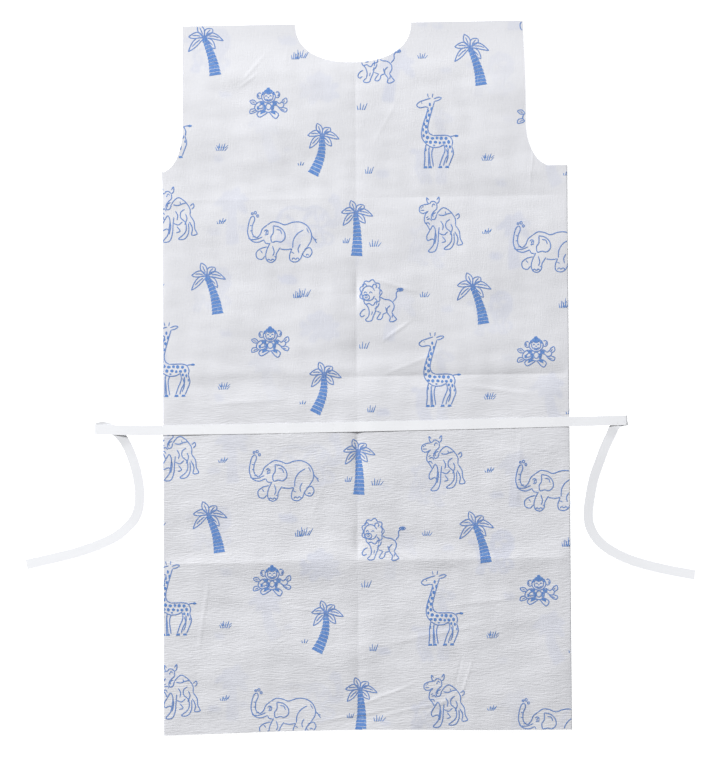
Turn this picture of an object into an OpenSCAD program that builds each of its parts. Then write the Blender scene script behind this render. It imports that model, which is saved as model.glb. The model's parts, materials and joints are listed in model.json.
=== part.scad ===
// Disposable child's examination gown, laid flat with its closed front panel up.
// Origin: middle of the gown's body, on its underside. +X to the viewer's right,
// +Y to the neck, +Z up. Millimetres.
// The web is a three-ply laminate, folded round both sides, and divided where the
// packing creases work as hinges.

/* [Body] */
// Flat width between the two side folds
gown_w = 524; // [480:2:560]
// Length from shoulder to hem
gown_l = 914; // [860:2:960]
// How far the neck's centre line lies right of the body's (minus is left)
cut_shift = -14; // [-18:1:0]

/* [Neck and arms] */
// Width across both shoulders
shoulder_span = 438; // [420:2:450]
// Width of the neck scoop
neck_w = 150; // [120:2:180]
// Depth of the neck scoop
neck_d = 50; // [35:1:70]
// Depth of the armholes below the shoulder
armhole_d = 187; // [160:1:200]
// Height of the rounded corner at the foot of an armhole
corner_h = 58; // [30:1:80]
// Widest that corner may be
corner_w = 36; // [20:1:50]

/* [Laminate] */
// Thickness of each creped tissue ply
tissue_t = 0.15; // [0.1:0.05:0.2]
// Thickness of the film between the tissues
film_t = 0.05; // [0.03:0.01:0.1]
// Thickness of the glue in the shoulder seals and under the tie
glue_t = 0.05; // [0.03:0.01:0.1]
// Height of a shoulder seal
seal_h = 10; // [6:1:16]
// Gap between the two back panels
slit_w = 3; // [1:0.5:6]

/* [Packing creases] */
// Y of the crease between yoke and chest
yoke_crease = 232; // [230:1:240]
// Y of the crease between chest and skirt
waist_crease = 2; // [1:1:6]
// Y of the crease between skirt and hem
hem_crease = -235; // [-240:1:-230]
// Clear gap between the sections at a crease
crease_gap = 0.4; // [0.3:0.1:1]

/* [Waist tie] */
// Width of the tie ribbon
tie_w = 12.7; // [10:0.1:16]
// Thickness of the tie ribbon
tie_t = 0.2; // [0.1:0.05:0.3]
// Y of the ribbon's centre line across the front
tie_y = -60; // [-80:1:-45]
// X of the fold at the ribbon's left end
tie_left = -352; // [-352]
// X of the fold at its right end
tie_right = 335; // [335]

/* [Hidden] */
SECTIONS = ["yoke", "chest", "skirt", "hem"];
PANELS = ["front", "back_left", "back_right"];
PLIES = ["outer_tissue", "film", "inner_tissue"];
PLY_NODES = [for (s = SECTIONS) for (p = PANELS) for (l = PLIES) str(s, "_", p, "_", l)];

half_w = gown_w / 2;
half_l = gown_l / 2;
armhole_y = half_l - armhole_d;
arm_left = cut_shift - shoulder_span / 2;
arm_right = cut_shift + shoulder_span / 2;
corner_left = min(corner_w, half_w + arm_left);
corner_right = min(corner_w, half_w - arm_right);
web_t = 2 * tissue_t + film_t;
stack_t = 2 * web_t + glue_t;
fold_r = stack_t / 2;
flat_half = half_w - fold_r;
past = 5;
ply_t = [tissue_t, film_t, tissue_t];
ply_z = [0, tissue_t, tissue_t + film_t];
edges = [half_l, yoke_crease, waist_crease, hem_crease, -half_l];
belt_z = stack_t + glue_t;
tie_fold_r = (belt_z + tie_t) / 2;
glue_w = 6;
seal_inset = 4;
arc_steps = 24;
ply_colour = ["aliceblue", "lightcyan", "white"];

// The tails' centre lines, from the fold at the ribbon's end to the cut end
left_route = [[tie_left + tie_fold_r, tie_y], [-340, -61], [-328, -64], [-317, -71], [-308, -82],
    [-301, -97], [-296, -118], [-293, -140], [-295, -161], [-301, -176], [-311, -188],
    [-325, -199], [-346, -208], [-374, -217], [-408, -225], [-442, -232]];
right_route = [[tie_right - tie_fold_r, tie_y], [325, -62], [318, -68], [313, -78], [306, -92],
    [298, -112], [290, -134], [285, -157], [282, -180], [285, -198], [295, -215],
    [313, -230], [339, -243], [377, -254], [418, -263]];

// Y range of section i, less half the crease gap where it meets another section
function low(i) = edges[i + 1] + (i < 3 ? crease_gap / 2 : 0);
function high(i) = edges[i] - (i > 0 ? crease_gap / 2 : 0);

function arc(cx, cy, rx, ry, from, to) = [for (k = [0:arc_steps])
    let (a = from + (to - from) * k / arc_steps) [cx + rx * cos(a), cy + ry * sin(a)]];

// Everything that the die leaves between the armholes, with the neck scooped out
module yoke_outline() {
    difference() {
        polygon(concat(
            [[-half_w, low(0)], [half_w, low(0)], [half_w, armhole_y]],
            arc(arm_right + corner_right, armhole_y + corner_h, corner_right, corner_h, 270, 180),
            [[arm_right, half_l], [arm_left, half_l]],
            arc(arm_left - corner_left, armhole_y + corner_h, corner_left, corner_h, 0, -90)));
        polygon(concat([[cut_shift - neck_w / 2, half_l + past]],
            arc(cut_shift, half_l, neck_w / 2, neck_d, 180, 360),
            [[cut_shift + neck_w / 2, half_l + past]]));
    }
}

module outline(i) {
    if (i == 0) yoke_outline();
    else translate([-half_w, low(i)]) square([gown_w, high(i) - low(i)]);
}

// One ply of section i between two X limits, flat
module flat_ply(i, ply, x0, x1, z) {
    translate([0, 0, z]) linear_extrude(ply_t[ply]) intersection() {
        outline(i);
        translate([x0, -half_l]) square([x1 - x0, gown_l]);
    }
}

// The same ply's turn round the side fold; below the armhole on the yoke
module side_turn(i, ply, side) {
    top = i == 0 ? armhole_y : high(i);
    outer_r = fold_r - ply_z[ply];
    translate([side * flat_half, top, fold_r]) rotate([90, 0, 0]) linear_extrude(top - low(i))
        intersection() {
            difference() {
                circle(r = outer_r, $fn = 48);
                circle(r = outer_r - ply_t[ply], $fn = 48);
            }
            translate([side > 0 ? 0 : -fold_r - past, -fold_r - past])
                square([fold_r + past, 2 * (fold_r + past)]);
        }
}

module front_ply(i, ply) {
    color(ply_colour[ply])
        flat_ply(i, ply, -flat_half, flat_half, stack_t - ply_z[ply] - ply_t[ply]);
}

module back_ply(i, ply, side) {
    slit_edge = cut_shift + side * slit_w / 2;
    color(ply_colour[ply]) union() {
        flat_ply(i, ply, side > 0 ? slit_edge : -flat_half, side > 0 ? flat_half : slit_edge,
            ply_z[ply]);
        side_turn(i, ply, side);
    }
}

module panel_ply(i, panel, ply) {
    if (panel == 0) front_ply(i, ply);
    else back_ply(i, ply, panel == 1 ? -1 : 1);
}

module shoulder_seal(side) {
    outer = side < 0 ? arm_left : arm_right;
    inner = cut_shift + side * neck_w / 2;
    x0 = min(outer, inner) + seal_inset;
    length = abs(outer - inner) - 2 * seal_inset;
    color("ivory") translate([x0, half_l - 2 - seal_h, web_t]) cube([length, seal_h, glue_t]);
}

module tie_glue_line() {
    color("ivory") translate([-half_w + 20, tie_y - glue_w / 2, stack_t])
        cube([gown_w - 40, glue_w, glue_t]);
}

module tie_front_span() {
    color("white") translate([tie_left + tie_fold_r, tie_y - tie_w / 2, belt_z])
        cube([tie_right - tie_left - 2 * tie_fold_r, tie_w, tie_t]);
}

// Half a turn that takes the ribbon back under itself
module tie_fold(side) {
    end = side < 0 ? tie_left + tie_fold_r : tie_right - tie_fold_r;
    color("white") translate([end, tie_y + tie_w / 2, tie_fold_r]) rotate([90, 0, 0])
        linear_extrude(tie_w) intersection() {
            difference() {
                circle(r = tie_fold_r, $fn = 48);
                circle(r = tie_fold_r - tie_t, $fn = 48);
            }
            translate([side > 0 ? 0 : -past, -past]) square([past, 2 * past]);
        }
}

// Smooth curve through the route's points, three steps to a span
function spline(p, i, t) =
    let (a = p[max(i - 1, 0)], b = p[i], c = p[i + 1], d = p[min(i + 2, len(p) - 1)])
    0.5 * (2 * b + (c - a) * t + (2 * a - 5 * b + 4 * c - d) * t * t
        + (3 * b - a - 3 * c + d) * t * t * t);
function smooth(p) = concat(
    [for (i = [0:len(p) - 2]) for (k = [0:2]) spline(p, i, k / 3)], [p[len(p) - 1]]);
function heading(c, k) = let (d = c[min(k + 1, len(c) - 1)] - c[max(k - 1, 0)]) d / norm(d);

// Flat ribbon swept along a route: eight points to a ring, its corners just broken
module tail(route, first) {
    c = smooth(route);
    edge = tie_t / 4;
    ring = [[-tie_w / 2, edge], [edge - tie_w / 2, 0], [tie_w / 2 - edge, 0], [tie_w / 2, edge],
        [tie_w / 2, tie_t - edge], [tie_w / 2 - edge, tie_t], [edge - tie_w / 2, tie_t],
        [-tie_w / 2, tie_t - edge]];
    n = len(c);
    points = [for (k = [0:n - 1]) let (h = k == 0 ? first : heading(c, k)) for (q = ring)
        [c[k][0] + h[1] * q[0], c[k][1] - h[0] * q[0], q[1]]];
    sides = [for (k = [0:n - 2]) for (j = [0:7]) let (a = 8 * k + j, b = 8 * k + (j + 1) % 8)
        each [[a, a + 8, b], [b, a + 8, b + 8]]];
    ends = [[for (j = [0:7]) j], [for (j = [7:-1:0]) 8 * (n - 1) + j]];
    color("white") polyhedron(points = points, faces = concat(sides, ends));
}

for (i = [0:3]) for (p = [0:2]) for (l = [0:2]) {
    name = str(SECTIONS[i], "_", PANELS[p], "_", PLIES[l]);
    panel_ply(i, p, l);
}
shoulder_seal(-1);  // shoulder_seal_left
shoulder_seal(1);  // shoulder_seal_right
tie_glue_line();
tie_front_span();
tie_fold(-1);  // tie_fold_left
tie_fold(1);  // tie_fold_right
tail(left_route, [1, 0]);  // tie_tail_left
tail(right_route, [-1, 0]);  // tie_tail_right
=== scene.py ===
"""Child's disposable examination gown: a folded web of creped tissue and film, printed in blue, with a
flat plastic ribbon as its waist tie. Metres, +X to the viewer's right, +Y to the neck, +Z up."""

import json
import math
from itertools import pairwise

import bmesh
import bpy
import numpy as np
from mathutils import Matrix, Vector


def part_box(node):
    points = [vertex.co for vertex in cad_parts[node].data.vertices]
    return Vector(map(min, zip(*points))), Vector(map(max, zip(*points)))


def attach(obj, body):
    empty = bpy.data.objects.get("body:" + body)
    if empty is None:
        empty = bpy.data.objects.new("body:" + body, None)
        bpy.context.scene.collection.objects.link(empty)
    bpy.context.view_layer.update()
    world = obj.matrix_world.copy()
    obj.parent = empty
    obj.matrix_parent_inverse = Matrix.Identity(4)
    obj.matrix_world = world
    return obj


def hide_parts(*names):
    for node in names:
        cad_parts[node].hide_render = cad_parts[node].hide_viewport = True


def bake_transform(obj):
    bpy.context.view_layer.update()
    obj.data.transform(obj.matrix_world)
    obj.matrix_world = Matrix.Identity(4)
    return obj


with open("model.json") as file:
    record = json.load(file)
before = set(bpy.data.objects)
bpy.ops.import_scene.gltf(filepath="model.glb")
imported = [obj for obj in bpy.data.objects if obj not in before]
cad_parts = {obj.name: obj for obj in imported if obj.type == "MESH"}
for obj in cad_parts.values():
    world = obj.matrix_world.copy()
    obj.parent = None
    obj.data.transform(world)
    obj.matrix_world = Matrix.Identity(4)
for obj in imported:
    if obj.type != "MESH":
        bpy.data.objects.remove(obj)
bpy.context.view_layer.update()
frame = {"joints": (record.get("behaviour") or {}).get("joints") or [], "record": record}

bl_info = {
    "name": "Disposable Examination Gown",
    "version": (1, 0, 0),
    "blender": (4, 5, 0),
    "location": "View3D > Sidebar > Gown",
    "description": "Builds a folded, printed tissue gown with a ribbon tie",
    "category": "Add Mesh",
}

MM = 0.001
RIBBON_HALF_T = 0.09 * MM
JOINTS = {joint["name"]: joint for joint in frame["joints"]}
SECTION_BODIES = {name: f"{name}_section" for name in ("yoke", "chest", "skirt", "hem")}
PANELS = ("front", "back_left", "back_right")
PLIES = ("outer_tissue", "film", "inner_tissue")


# ---------------------------------------------------------------- sizes and colours


class GownSizes(bpy.types.PropertyGroup):
    """Sizes that the frame doesn't give."""

    ply: bpy.props.FloatProperty(
        name="Laminate", description="Thickness of the three plies together", default=0.35 * MM, unit="LENGTH"
    )
    loft: bpy.props.FloatProperty(
        name="Loft", description="Height of the front panel over the back", default=2.15 * MM, unit="LENGTH"
    )
    turn: bpy.props.FloatProperty(
        name="Side fold", description="Radius of the web's turn at each side", default=0.9 * MM, unit="LENGTH"
    )
    cell: bpy.props.FloatProperty(
        name="Mesh cell", description="Spacing of the web's mesh", default=2.3 * MM, unit="LENGTH"
    )
    lean: bpy.props.FloatProperty(
        name="Lean", description="How far the web racks to the right for each metre along it", default=0.0117
    )
    flare: bpy.props.FloatProperty(
        name="Flare", description="How much wider the web lies for each metre towards the hem", default=0.0115
    )
    hem_rise: bpy.props.FloatProperty(
        name="Hem rise", description="How far the hem's middle is drawn up", default=5 * MM, unit="LENGTH"
    )


class PrintSizes(bpy.types.PropertyGroup):
    """The printed repeat."""

    line: bpy.props.FloatProperty(
        name="Line", description="Width of a printed line", default=1.4 * MM, unit="LENGTH"
    )
    across: bpy.props.FloatVectorProperty(
        name="Repeat across", description="Step to the next repeat across", size=2, default=(0.343, -0.0187)
    )
    along: bpy.props.FloatVectorProperty(
        name="Repeat along", description="Step to the next repeat along", size=2, default=(0.001, -0.307)
    )
    step: bpy.props.FloatProperty(
        name="Step", description="Length of one piece of a printed line", default=1.6 * MM, unit="LENGTH"
    )


class GownColours(bpy.types.PropertyGroup):
    """Finishes."""

    tissue: bpy.props.FloatVectorProperty(
        name="Tissue", description="Creped tissue", subtype="COLOR", size=3, default=(0.71, 0.715, 0.75)
    )
    ghost: bpy.props.FloatVectorProperty(
        name="Show-through", description="Back print seen through the web", subtype="COLOR", size=3,
        default=(0.56, 0.59, 0.72),
    )
    ink: bpy.props.FloatVectorProperty(
        name="Ink", description="Printed line", subtype="COLOR", size=3, default=(0.13, 0.235, 0.53)
    )
    solid_ink: bpy.props.FloatVectorProperty(
        name="Solid ink", description="Printed solid area", subtype="COLOR", size=3,
        default=(0.105, 0.23, 0.56),
    )
    ribbon: bpy.props.FloatVectorProperty(
        name="Ribbon", description="Plastic tie", subtype="COLOR", size=3, default=(0.89, 0.90, 0.93)
    )
    glue: bpy.props.FloatVectorProperty(
        name="Glue", description="Seals and the line under the tie", subtype="COLOR", size=3,
        default=(0.75, 0.73, 0.66),
    )
    floor: bpy.props.FloatVectorProperty(
        name="Floor", description="Studio floor", subtype="COLOR", size=3, default=(0.93, 0.93, 0.93)
    )


# ---------------------------------------------------------------- finishes


class Value:
    """A number that varies over a surface; sums, differences and products of it add Math nodes."""

    def __init__(self, finish, socket):
        self.finish = finish
        self.socket = socket

    def maths(self, operation, *numbers):
        inputs = {i: number for i, number in enumerate(numbers)}
        node = self.finish.node("ShaderNodeMath", {"operation": operation}, inputs)
        return Value(self.finish, node.outputs[0])

    def __add__(self, other):
        return self.maths("ADD", self, other)

    __radd__ = __add__

    def __rsub__(self, other):
        return self.maths("SUBTRACT", other, self)

    def __mul__(self, other):
        return self.maths("MULTIPLY", self, other)

    __rmul__ = __mul__


class Finish:
    """One material, built node by node."""

    def __init__(self, name, **constants):
        self.material = bpy.data.materials.new(name)
        self.material.use_nodes = True
        self.tree = self.material.node_tree
        self.shader = self.tree.nodes["Principled BSDF"]
        for socket, constant in constants.items():
            self.shader.inputs[socket.replace("_", " ")].default_value = constant

    def node(self, kind, settings, inputs):
        node = self.tree.nodes.new(kind)
        for name, setting in settings.items():
            setattr(node, name, setting)
        for socket, given in inputs.items():
            self.feed(node.inputs[socket], given)
        return node

    def feed(self, socket, given):
        if isinstance(given, Value):
            given = given.socket
        if isinstance(given, bpy.types.NodeSocket):
            self.tree.links.new(given, socket)
        elif socket.type == "RGBA" and len(given) == 3:
            socket.default_value = (*given, 1.0)
        else:
            socket.default_value = given

    def place(self):
        """Where a point lies on the flat web, in millimetres: across and along."""
        web = self.node("ShaderNodeAttribute", {"attribute_name": "web"}, {})
        parts = self.node("ShaderNodeSeparateXYZ", {}, {0: web.outputs["Vector"]})
        return Value(self, parts.outputs[0]), Value(self, parts.outputs[1])

    def attribute(self, name):
        return Value(self, self.node("ShaderNodeAttribute", {"attribute_name": name}, {}).outputs["Fac"])

    def vector(self, x, y, z=0.0):
        return self.node("ShaderNodeCombineXYZ", {}, {0: x, 1: y, 2: z}).outputs[0]

    def noise(self, vector, scale, detail=2.0, roughness=0.5):
        inputs = {"Vector": vector, "Scale": scale, "Detail": detail, "Roughness": roughness}
        return Value(self, self.node("ShaderNodeTexNoise", {}, inputs).outputs["Fac"])

    def step(self, value, low, high):
        """0 below low, 1 above high, smooth between."""
        settings = {"interpolation_type": "SMOOTHSTEP"}
        inputs = {"Value": value, "From Min": low, "From Max": high}
        return Value(self, self.node("ShaderNodeMapRange", settings, inputs).outputs[0])

    def mix(self, amount, first, second):
        settings = {"data_type": "RGBA"}
        node = self.node("ShaderNodeMix", settings, {0: amount, 6: first, 7: second})
        return node.outputs[2]

    def bump(self, height, distance, strength=1.0):
        inputs = {"Height": height, "Distance": distance, "Strength": strength}
        return self.node("ShaderNodeBump", {}, inputs).outputs["Normal"]

    def wear(self, **sockets):
        for name, given in sockets.items():
            self.feed(self.shader.inputs[name.replace("_", " ")], given)
        return self.material


def shade(colour, amount):
    return tuple(min(1.0, channel * amount) for channel in colour)


def tissue_finish(name, colours, printed):
    """Creped tissue: fine upright ribs, wavy cross ribs low down, mottling, and the back print's ghost."""
    f = Finish(name, Specular_IOR_Level=0.25, Sheen_Weight=0.15, Sheen_Roughness=0.6)
    x, y = f.place()
    drift = f.noise(f.vector(x, y), 0.05, 2.0)
    ribs = f.noise(f.vector(x * 0.62 + drift * 1.5, y * 0.075), 1.0, 3.0, 0.6)
    rows = f.noise(f.vector(x * 0.085, y * 0.58 + drift * 3.0), 1.0, 2.0, 0.6)
    pits = f.noise(f.vector(x, y), 0.9, 4.0, 0.7)
    low = 1 - f.step(y, -120.0, 60.0)
    height = ribs * (0.6 - 0.15 * low) + rows * (0.3 + 1.3 * low) + pits * 0.4
    cloud = f.noise(f.vector(x, y), 0.016, 3.0)
    fibre = f.noise(f.vector(x, y), 2.2, 3.0, 0.7)
    light = f.step(cloud * 0.6 + fibre * 0.4, 0.35, 0.65)
    colour = f.mix(light, shade(colours.tissue, 0.972), shade(colours.tissue, 1.02))
    if printed:
        colour = f.mix(f.attribute("ghost"), colour, tuple(colours.ghost))
    roughness = 0.78 + 0.16 * pits
    return f.wear(Base_Color=colour, Roughness=roughness, Normal=f.bump(height, 0.00024))


def film_finish():
    """Clear film at the web's cut edges."""
    f = Finish("poly film", Specular_IOR_Level=0.5)
    x, y = f.place()
    haze = f.noise(f.vector(x, y), 0.3, 3.0)
    colour = f.mix(haze, (0.66, 0.71, 0.78), (0.76, 0.80, 0.86))
    return f.wear(Base_Color=colour, Roughness=0.22 + 0.2 * haze, Normal=f.bump(haze, 0.00005))


def ink_finish(colours):
    """Flexographic ink: a little starved on the ribs' tops and fuller in their hollows."""
    f = Finish("printed ink", Specular_IOR_Level=0.25)
    x, y = f.place()
    ribs = f.noise(f.vector(x * 0.62, y * 0.055), 1.0, 3.0, 0.6)
    grain = f.noise(f.vector(x, y), 1.3, 4.0, 0.75)
    starved = f.step(ribs * 0.45 + grain * 0.55, 0.42, 0.70)
    colour = f.mix(starved, tuple(colours.ink), (0.30, 0.42, 0.68))
    return f.wear(Base_Color=colour, Roughness=0.7 + 0.2 * grain, Normal=f.bump(grain, 0.00008))


def solid_ink_finish(colours):
    """The brighter blue of the solid areas, streaked where the tissue shows through."""
    f = Finish("printed ink solid", Specular_IOR_Level=0.25)
    x, y = f.place()
    streaks = f.noise(f.vector(x * 0.5, y * 0.16), 1.0, 4.0, 0.7)
    grain = f.noise(f.vector(x, y), 1.1, 3.0, 0.7)
    starved = f.step(streaks * 0.6 + grain * 0.4, 0.46, 0.66)
    colour = f.mix(starved, tuple(colours.solid_ink), (0.24, 0.40, 0.68))
    return f.wear(Base_Color=colour, Roughness=0.7 + 0.2 * grain, Normal=f.bump(grain, 0.00008))


def ribbon_finish(colours):
    """Extruded plastic ribbon: drawn lines along it and a soft gloss."""
    f = Finish("plastic ribbon", Specular_IOR_Level=0.5, Coat_Weight=0.25, Coat_Roughness=0.3)
    x, y = f.place()
    lines = f.noise(f.vector(x * 0.02, y * 2.4), 1.0, 3.0, 0.6)
    cloud = f.noise(f.vector(x * 0.05, y * 0.2), 1.0, 2.0)
    colour = f.mix(lines * 0.5 + cloud * 0.5, shade(colours.ribbon, 0.95), shade(colours.ribbon, 1.04))
    return f.wear(Base_Color=colour, Roughness=0.32 + 0.16 * lines, Normal=f.bump(lines, 0.00006))


def glue_finish(colours):
    """Hot-melt glue: cloudy, with small bubbles."""
    f = Finish("glue line", Specular_IOR_Level=0.5)
    where = f.node("ShaderNodeTexCoord", {}, {}).outputs["Object"]
    bubbles = f.noise(where, 900.0, 2.0)
    colour = f.mix(bubbles, shade(colours.glue, 0.9), shade(colours.glue, 1.1))
    return f.wear(Base_Color=colour, Roughness=0.3 + 0.3 * bubbles, Normal=f.bump(bubbles, 0.00005))


# ---------------------------------------------------------------- the web's shape


class Web:
    """Maps the flat web, across s and along y, to the laid gown. s is 0 on the front's centre line and
    runs out over each side fold to the slit between the back panels."""

    NECK_W, NECK_D = 75 * MM, 50 * MM  # half its width, and its depth
    NECK_ROUND = 2.25  # 2 would be a plain oval
    ARM_DEPTH = 187 * MM
    SHOULDER = 219 * MM  # from the neck's centre to each armhole
    ARM_CORNER_H = 58 * MM
    ARM_CORNER_W = 36 * MM
    SLIT = 3 * MM
    CREASE_X = -11.4 * MM
    CREASE_DEPTH = 2.2 * MM
    CREASE_FINE = 8 * MM  # the mesh is twice as fine this near the lengthwise crease
    CLIMB = 9.5 * MM  # width of the lengthwise crease's right flank
    LEAST_GAP, MOST_GAP = 0.5 * MM, 2.85 * MM  # the front panel's height over the back
    SOFT = 0.3 * MM  # how softly the front panel meets those limits
    UNDER = 0.05 * MM  # air between panels that touch

    def __init__(self, sizes):
        openings = frame["record"]["physics"]["openings"]
        scoop = next(o for o in openings if o["name"] == "neck_scoop")["box_m"]
        self.sizes = sizes
        self.half = -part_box("chest_back_left_outer_tissue")[0][0]
        self.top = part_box("yoke_front_outer_tissue")[1][1]
        self.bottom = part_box("hem_front_outer_tissue")[0][1]
        self.centre = (scoop[0][0] + scoop[1][0]) / 2
        self.arm_y = self.top - self.ARM_DEPTH
        self.arm_x = (self.centre - self.SHOULDER, self.centre + self.SHOULDER)
        self.creases = [JOINTS[f"{name}_crease_fold"]["pos_m"][1] for name in ("yoke", "waist", "hem")]
        self.flat = self.half - sizes.turn
        self.arc = math.pi * sizes.turn
        self.ends = (
            -(self.flat + self.arc + self.flat + self.centre - self.SLIT / 2),
            self.flat + self.arc + self.flat - self.centre - self.SLIT / 2,
        )
        chance = np.random.RandomState(7)
        self.swells = self.waves(chance, 7, (0.10, 0.22), math.pi, 0.20 * MM)
        self.cockles = self.waves(chance, 16, (0.018, 0.06), 0.3, 0.055 * MM)
        self.bed = self.waves(chance, 8, (0.06, 0.16), math.pi, 0.05 * MM)

    @staticmethod
    def waves(chance, count, lengths, spread, height):
        """Waves within spread of the web's two directions, each broken up along its crests."""
        found = []
        for k in range(count):
            angle = (math.pi / 2 if k % 3 else 0) + chance.uniform(-spread, spread)
            length = chance.uniform(*lengths)
            size = height * (0.6 + 0.8 * chance.rand())
            phase, crest, start = chance.uniform(0, 6.3), chance.uniform(3, 7), chance.uniform(0, 6.3)
            found.append((size, length, angle, phase, crest, start))
        return found

    @staticmethod
    def ripple(waves, x, y):
        total = np.zeros_like(x)
        for height, length, angle, phase, crest, start in waves:
            along = x * math.cos(angle) + y * math.sin(angle)
            aside = y * math.cos(angle) - x * math.sin(angle)
            breaks = np.cos(2 * math.pi * aside / (length * crest) + start)
            total += height * breaks * np.sin(2 * math.pi * along / length + phase)
        return total

    @staticmethod
    def crease(d, depth, near, far, soft=0.9 * MM):
        """A fold line's height: sharpest at d = 0, dying away over near on its plus side and far on its
        other side."""
        reach = np.where(d > 0, near, far)
        return depth * np.exp(-(np.sqrt(d * d + soft * soft) - soft) / reach)

    # Small puckers: x, y, angle in degrees, length, width, height, all lengths in millimetres
    PUCKERS = (
        (-140, 405, 52, 46, 2.2, 0.22), (-128, 398, 128, 34, 2.0, 0.20), (-150, 385, 40, 28, 2.0, 0.16),
        (126, -394, 76, 56, 1.8, 0.24), (117, -380, 80, 40, 1.8, -0.16), (96, -420, 40, 50, 2.2, 0.18),
        (60, -428, 16, 110, 2.6, 0.22), (-20, -437, 12, 90, 2.6, 0.20), (26, -408, 24, 70, 2.2, 0.24),
        (90, -330, 12, 120, 3.0, 0.22), (-60, -300, -8, 90, 3.0, 0.22), (150, -290, 8, 80, 2.8, 0.22),
        (40, 118, -14, 60, 3.0, 0.25), (60, 18, 24, 80, 3.0, 0.16), (170, -18, -6, 90, 3.0, 0.25),
        (-150, -28, 5, 90, 3.0, 0.20), (-210, -300, 84, 90, 2.4, 0.22), (214, 268, 89, 56, 1.8, 0.12),
        (28, 330, 64, 60, 2.8, 0.10), (-100, 420, 86, 30, 2.0, 0.22), (40, 60, 38, 40, 2.4, 0.25),
        (36, -222, -30, 30, 2.2, 0.30), (-60, -150, 70, 60, 2.6, 0.08), (196, -120, 88, 90, 2.6, 0.20),
    )

    def pucker(self, x, y):
        total = np.zeros_like(x)
        for px, py, angle, length, width, height in self.PUCKERS:
            turn = math.radians(angle)
            dx, dy = x - px * MM, y - py * MM
            along = dx * math.cos(turn) + dy * math.sin(turn)
            bow = 1.2 * MM * np.sin(along * 55)
            aside = dy * math.cos(turn) - dx * math.sin(turn) + bow
            shape = -((aside / (width * MM)) ** 2) - (along / (length * MM / 2)) ** 4
            total += height * MM * np.exp(shape)
        return total

    def back_height(self, x, y):
        bumps = self.ripple(self.bed, x, y)
        lift = self.UNDER + 0.5 * (bumps + np.sqrt(bumps ** 2 + (0.1 * MM) ** 2))
        return self.sizes.ply / 2 + lift * (1 - self.sealed(y))

    # The lengthwise crease: y, how deep it sinks on its left and climbs on its right, and in millimetres its
    # reach along the web and the width of the climb
    SHARP = (
        (365, 0.25, 0.3, 30, 10), (280, 0.0, 0.75, 36, 18), (205, 0.2, 0.3, 20, 14), (113, 0.8, 1.0, 20, 10),
        (34, 0.45, 0.85, 26, 30), (-98, 1.0, 1.0, 30, 10), (-170, 0.3, 0.1, 20, 10), (-208, 0.9, 1.0, 20, 10),
        (-310, 0.25, 0.3, 30, 10), (-385, 0.35, 0.05, 30, 10), (-435, 0.2, 0.4, 20, 10),
    )

    def front_gap(self, x, y):
        """Height of the front panel over the back."""
        right = 1 / (1 + np.exp(-(x + 10 * MM) / (25 * MM)))  # 0 on the left half, 1 on the right half
        gap = self.sizes.loft + self.ripple(self.swells, x, y) + self.ripple(self.cockles, x, y)
        gap += self.cross_creases(y, right) + self.long_crease(x - self.CREASE_X, y) + self.pucker(x, y)
        side = np.exp(-(self.flat - np.abs(x)).clip(0) / (10 * MM))
        gap += (2 * self.sizes.turn - gap) * side
        gap = self.LEAST_GAP + self.soft_above(gap - self.LEAST_GAP)
        gap = self.MOST_GAP - self.soft_above(self.MOST_GAP - gap)
        return gap + (self.sizes.ply + self.UNDER - gap) * self.sealed(y)

    def soft_above(self, height):
        """The height, held above 0 by a soft bend."""
        return 0.5 * (height + np.sqrt(height ** 2 + self.SOFT ** 2))

    def cross_creases(self, y, right):
        """Height of the three crosswise creases."""
        yoke, waist, hem = self.creases
        gap = -self.crease(y - yoke, (1.5 * right - 0.5) * MM, (13 + 32 * right) * MM, 16 * MM)
        gap -= self.crease(y - waist, (0.2 + 0.75 * right) * MM, 11 * MM, 8 * MM)
        step = (y - waist) / (14 * MM)
        gap += (1 - right) * 0.8 * MM * step * np.exp(-step * step)
        gap -= 0.9 * MM * np.exp(-(((y - hem) / (80 * MM)) ** 2))
        gap += self.crease(y - hem, 1.35 * MM, 12 * MM, 22 * MM + 12 * MM * right)
        return gap - 0.3 * MM * np.exp(-(((y - hem + 35 * MM) / (12 * MM)) ** 2))

    def long_crease(self, middle, y):
        """Height of the lengthwise crease, middle away from it."""
        left, climb, wide = np.full_like(y, 0.06), np.full_like(y, 0.06), np.full_like(y, self.CLIMB)
        for place, sink, lift, reach, width in self.SHARP:
            near = np.exp(-(((y - place * MM) / (reach * MM)) ** 2))
            left += sink * near
            climb += lift * near
            wide += (width * MM - self.CLIMB) * near
        left, climb = left.clip(0, 1), climb.clip(0, 1)
        deepest = np.maximum(left, climb)
        sharp = np.where(middle > 0, climb, left)
        gap = deepest * 0.5 * MM * np.exp(-((middle / (30 * MM)) ** 2))
        gap -= sharp * self.crease(middle, self.CREASE_DEPTH, wide, 8 * MM)
        return gap - (deepest - sharp) * self.crease(middle, self.CREASE_DEPTH, 45 * MM, 45 * MM)

    def sealed(self, y):
        """1 along the shoulders, where the panels are joined."""
        near = ((y - self.top + 90 * MM) / (77 * MM)).clip(0, 1)
        return near * near * (3 - 2 * near)

    def point(self, s, y):
        """Laid place of the web's middle surface."""
        side = np.sign(s)
        past = np.abs(s) - self.flat
        turn = (past / self.sizes.turn).clip(0, math.pi)
        x = self.fold_x(s)
        z = self.back_height(x, y) + self.front_gap(x, y) * (1 + np.cos(turn)) / 2
        laid_x, laid_y = self.lie(x + side * self.sizes.turn * np.sin(turn), y)
        return np.stack([laid_x, laid_y, z], axis=1)

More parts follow.
